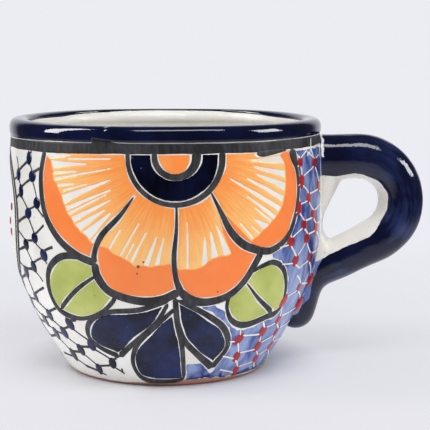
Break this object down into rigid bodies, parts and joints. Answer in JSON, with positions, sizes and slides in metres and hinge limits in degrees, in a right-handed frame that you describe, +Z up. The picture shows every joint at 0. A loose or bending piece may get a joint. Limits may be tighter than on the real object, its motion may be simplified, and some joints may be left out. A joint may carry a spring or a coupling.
{
  "type": "clay mug",
  "caption": "Wide hand-thrown earthenware mug with a rolled rim, a round pulled loop handle with a pressed tail, and fired glaze coats.",
  "frame": {"origin": "centre of the foot ring, on the surface that the mug stands on", "axes": "+Z up through the middle of the cup, +X towards the handle"},
  "size_m": [0.1374, 0.1032, 0.0824],
  "materials": {
    "red_clay": "bare fired earthenware, matte",
    "handle_clay": "fired earthenware under glaze",
    "slip": "fired slip, sealed inside the joint",
    "white_glaze": "glossy white tin glaze, hand painted",
    "cream_glaze": "glossy cream glaze",
    "black_line": "satin black brushed line",
    "cobalt_glaze": "glossy cobalt glaze"
  },
  "bodies": {
    "root": {"cup": "red_clay", "handle": "handle_clay", "upper_slip": "slip", "lower_slip": "slip", "wall_glaze": "white_glaze", "liner_glaze": "cream_glaze", "rim_line": "black_line", "rim_glaze": "cobalt_glaze", "handle_blue_glaze": "cobalt_glaze", "handle_white_glaze": "white_glaze"}
  },
  "joints": []
}
